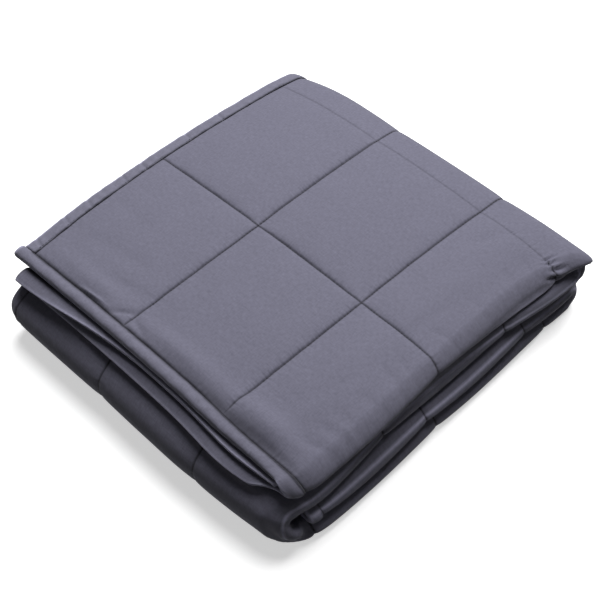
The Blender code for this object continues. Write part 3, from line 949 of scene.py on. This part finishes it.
class BLANKET_OT_quilt(bpy.types.Operator):
    """Sew the quilted cover and fold it into a bundle"""

    bl_idname = "blanket.quilt"
    bl_label = "Quilted cover"

    def execute(self, context):
        sizes = context.scene.blanket_sizes
        columns = grid_lines(ACROSS, SEAMS_ACROSS, CLOSE_UP["across"])
        rows = grid_lines(ALONG, SEAMS_ALONG, CLOSE_UP["along"])
        bm = bmesh.new()
        for side in (1.0, -1.0):
            place_grid(bm, columns, rows, side)
        rim = [edge for edge in bm.edges if edge.is_boundary]
        bmesh.ops.bridge_loops(bm, edges=rim)
        close = set()
        for face in bm.faces:
            middle = face.calc_center_median()
            # The outer side lies at 1 until it is raised, and the rim's faces lie lower.
            if middle.z > 0.99 and shows(middle.x, middle.y):
                close.update(face.edges)
        bmesh.ops.subdivide_edges(
            bm, edges=list(close), cuts=FINE_CUTS, use_grid_fill=True, use_single_edge=True
        )

        def raised(across, along, side):
            outer, inner = skins(across, along, sizes.cell_fill, sizes.pucker_share)
            return across, along, np.where(side > 0, outer, inner)

        lay_out(bm, raised)
        dye = tuple(context.scene.blanket_colours.cover)
        material = cotton("woven_cotton_cover", dye, WEAVE_PITCH, 0.88)
        piece("quilted_cover", bm, material, "quilt")
        return {"FINISHED"}


def binding_profile():
    """A C in section, from the stitch line round the rolled edge and back, with the hem's slot."""
    points = [(-CLEARANCE, MOUTH)]
    for step in range(1, PROFILE_STEPS):
        angle = math.pi * step / PROFILE_STEPS
        out = BINDING_WIDTH / 2 * (1 - math.cos(angle))
        points.append((out, MOUTH + (BINDING_HALF - MOUTH) * math.sin(angle) ** PROFILE_POWER))
    over = points + [(BINDING_WIDTH, 0.0)]
    under = [(out, -height) for out, height in reversed(points)]
    depth = HEM_WIDTH + CLEARANCE
    return over + under + [(depth, -MOUTH), (depth, MOUTH)]


def binding_wrinkles(name, place, out):
    """Wrinkles all along a binding, and the notches across some of them."""
    found = sum(
        row["depth"] * unevenness(place / row["along"], out / row["out"], row["seed"])
        for row in WRINKLES
    )
    notch = NOTCHES.get(name, {"at": ()})
    for at in notch["at"]:
        found = found - notch["deep"] * hill(place - notch["slant"] * out, at, notch["wide"])
    return found


class BLANKET_OT_bindings(bpy.types.Operator):
    """Fold the cotton strips over the four edges"""

    bl_idname = "blanket.bindings"
    bl_label = "Bindings"

    def execute(self, context):
        sizes = context.scene.blanket_sizes
        dye = tuple(context.scene.blanket_colours.binding)
        material = cotton("woven_cotton_binding", dye, WEAVE_PITCH, 0.85)
        width, length, short = ACROSS.length, ALONG.length, 2 * CLEARANCE
        crosswise = (-BINDING_WIDTH, width + BINDING_WIDTH)
        lengthwise = (short, length - short)
        table = (
            {"name": "front", "runs_across": True, "stitch": 0.0, "outwards": -1, "ends": crosswise},
            {"name": "tucked", "runs_across": True, "stitch": length, "outwards": 1, "ends": crosswise},
            {"name": "back", "runs_across": False, "stitch": 0.0, "outwards": -1, "ends": lengthwise},
            {"name": "inner", "runs_across": False, "stitch": width, "outwards": 1, "ends": lengthwise},
        )
        for row in table:
            self.strip(row, sizes, material)
        return {"FINISHED"}

    def strip(self, row, sizes, material):
        start, end = row["ends"]
        rows = np.linspace(start, end, round((end - start) / BINDING_PITCH) + 1)
        outline = np.array(binding_profile())
        puff = sizes.binding_puff if row["runs_across"] else FLAT_PUFF

        def wrapped(loop, place, _):
            out, height = outline[np.round(loop).astype(int) % len(outline)].T
            if row["name"] == "front":
                corner = hill(place, ROLLED_UNDER["at"], ROLLED_UNDER["reach"])
                gone = ROLLED_UNDER["all"] + ROLLED_UNDER["corner"] * corner
                out = out * (1 - gone * within(ACROSS, place, "top"))
            beyond = row["stitch"] + row["outwards"] * out
            across, along = (place, beyond) if row["runs_across"] else (beyond, place)
            swell = free_face(across, along) * np.clip((height - MOUTH) / (BINDING_HALF - MOUTH), 0, 1)
            wrinkles = sizes.pucker_share * binding_wrinkles(row["name"], place, out)
            return across, along, height + swell * (puff + wrinkles)

        bm = bmesh.new()
        place_grid(bm, np.arange(len(outline) + 1.0), rows, 0.0)
        lay_out(bm, wrapped)
        bmesh.ops.remove_doubles(bm, verts=bm.verts, dist=WELD_DISTANCE)
        bmesh.ops.holes_fill(bm, edges=[edge for edge in bm.edges if edge.is_boundary])
        piece("bound_edge_" + row["name"], bm, material, "binding_" + row["name"])


class BLANKET_OT_stitching(bpy.types.Operator):
    """Sew the threads along the seams and the bindings"""

    bl_idname = "blanket.stitching"
    bl_label = "Stitching"

    def execute(self, context):
        sizes = context.scene.blanket_sizes
        long, wide = 0.5 * STITCH_SHARE * sizes.stitch_length, 0.5 * sizes.thread_width
        grain = bpy.data.meshes.new("one_stitch")
        bm = bmesh.new()
        bmesh.ops.create_icosphere(bm, subdivisions=1, radius=1.0)
        bm.to_mesh(grain)
        bm.clear()
        for line in stitch_lines():
            length = line["end"] - line["start"]
            for index in range(int(length / sizes.stitch_length)):
                place = line["start"] + (index + 0.5) * sizes.stitch_length
                centre = (place, line["at"]) if line["runs_across"] else (line["at"], place)
                plan = (long, wide) if line["runs_across"] else (wide, long)
                stitch = grain.copy()
                stitch.transform(
                    Matrix.Translation((*centre, line["height"])) @ Matrix.Diagonal((*plan, wide, 1))
                )
                bm.from_mesh(stitch)
                bpy.data.meshes.remove(stitch)
        bpy.data.meshes.remove(grain)
        dye = tuple(context.scene.blanket_colours.thread)
        material = cotton("twisted_cotton_thread", dye, TWIST_PITCH, 0.8)
        piece("stitching", bm, material, None)
        return {"FINISHED"}


def stitch_lines():
    """Every line of thread that shows, where it lies on the flat cloth and how high."""
    back, wrap, under = ALONG.piece("back"), ACROSS.piece("wrap"), ACROSS.piece("under")
    on_cloth = SEAM_HALF + THREAD_LIFT
    lines = []

    def add(runs_across, at, start, end, height=on_cloth):
        lines.append({"runs_across": runs_across, "at": at, "start": start, "end": end, "height": height})

    for seam in SEAMS_ACROSS[1:3]:
        add(False, seam, FIRST_STITCH, back.end)
    for seam in SEAMS_ALONG[1:-1]:
        add(True, seam, FIRST_STITCH if seam < back.start else wrap.start, wrap.end)
    for turn in (ALONG.piece("roll"), ALONG.piece("low_back")):
        for seam in SEAMS_ACROSS:
            if under.start < seam < under.end:
                add(False, seam, turn.start, turn.end)
    on_binding = BINDING_HALF - EDGE_STITCH_SINK
    add(True, -EDGE_STITCH, 0.0, wrap.start, on_binding)
    add(False, -EDGE_STITCH, 0.0, back.end, on_binding)
    return lines


class BLANKET_OT_stage(bpy.types.Operator):
    """Set up the floor, the soft light and the camera"""

    bl_idname = "blanket.stage"
    bl_label = "Stage"

    def execute(self, context):
        scene = context.scene
        bm = bmesh.new()
        bmesh.ops.create_grid(bm, x_segments=1, y_segments=1, size=FLOOR_HALF)
        mesh = bpy.data.meshes.new("floor")
        bm.to_mesh(mesh)
        bm.free()
        mesh.materials.append(plain("lit_white_table", tuple(scene.blanket_colours.floor), 0.9, TABLE_GLOW))
        floor = bpy.data.objects.new("floor", mesh)
        floor.location.z = -FLOOR_DROP
        # It throws no light back up, so that the bundle's sides stay as dark as in the photograph.
        floor.visible_diffuse = False
        scene.collection.objects.link(floor)

        scene.view_settings.view_transform = "Standard"
        world = bpy.data.worlds.new("studio")
        scene.world = world
        world.use_nodes = True
        world.node_tree.nodes["Background"].inputs["Color"].default_value = (1.0, 1.0, 1.0, 1.0)
        world.node_tree.nodes["Background"].inputs["Strength"].default_value = FILL_LIGHT

        lamp = bpy.data.lights.new("overhead_softbox", "AREA")
        lamp.shape = "DISK"
        lamp.size = SOFTBOX_SIZE
        lamp.energy = SOFTBOX_POWER
        lit = bpy.data.objects.new("overhead_softbox", lamp)
        lit.location = SOFTBOX_PLACE
        lit.rotation_euler = Vector(lit.location).to_track_quat("Z", "Y").to_euler()
        scene.collection.objects.link(lit)

        view = bpy.data.cameras.new("camera")
        view.lens = CAMERA_LENS
        view.sensor_width = CAMERA_SENSOR
        camera = bpy.data.objects.new("camera", view)
        camera.location = CAMERA_PLACE
        turn, rise = math.radians(CAMERA_TURN), math.radians(CAMERA_RISE)
        ahead = Vector(
            (-math.sin(turn) * math.cos(rise), math.cos(turn) * math.cos(rise), -math.sin(rise))
        )
        camera.rotation_euler = ahead.to_track_quat("-Z", "Y").to_euler()
        scene.collection.objects.link(camera)
        scene.camera = camera
        return {"FINISHED"}


class BLANKET_PT_panel(bpy.types.Panel):
    """Lists the blanket's pieces and their sizes"""

    bl_idname = "BLANKET_PT_panel"
    bl_label = "Folded blanket"
    bl_space_type = "VIEW_3D"
    bl_region_type = "UI"
    bl_category = "Blanket"

    def draw(self, context):
        for group in (context.scene.blanket_sizes, context.scene.blanket_colours):
            for name in group.bl_rna.properties.keys():
                if name not in ("rna_type", "name"):
                    self.layout.prop(group, name)
        for operator in OPERATORS:
            self.layout.operator(operator.bl_idname)


OPERATORS = (BLANKET_OT_quilt, BLANKET_OT_bindings, BLANKET_OT_stitching, BLANKET_OT_stage)
CLASSES = (BlanketSizes, BlanketColours, *OPERATORS, BLANKET_PT_panel)


def register():
    for each in CLASSES:
        bpy.utils.register_class(each)
    bpy.types.Scene.blanket_sizes = PointerProperty(type=BlanketSizes)
    bpy.types.Scene.blanket_colours = PointerProperty(type=BlanketColours)


def unregister():
    del bpy.types.Scene.blanket_colours
    del bpy.types.Scene.blanket_sizes
    for each in reversed(CLASSES):
        bpy.utils.unregister_class(each)


def main():
    register()
    bpy.ops.blanket.stage()
    bpy.ops.blanket.quilt()
    bpy.ops.blanket.bindings()
    bpy.ops.blanket.stitching()
    pieces = bpy.data.objects
    sewn_on = [pieces["bound_edge_" + name] for name in ("front", "tucked", "back", "inner")]
    sewn_on.append(pieces["stitching"])


if __name__ == "__main__":
    main()
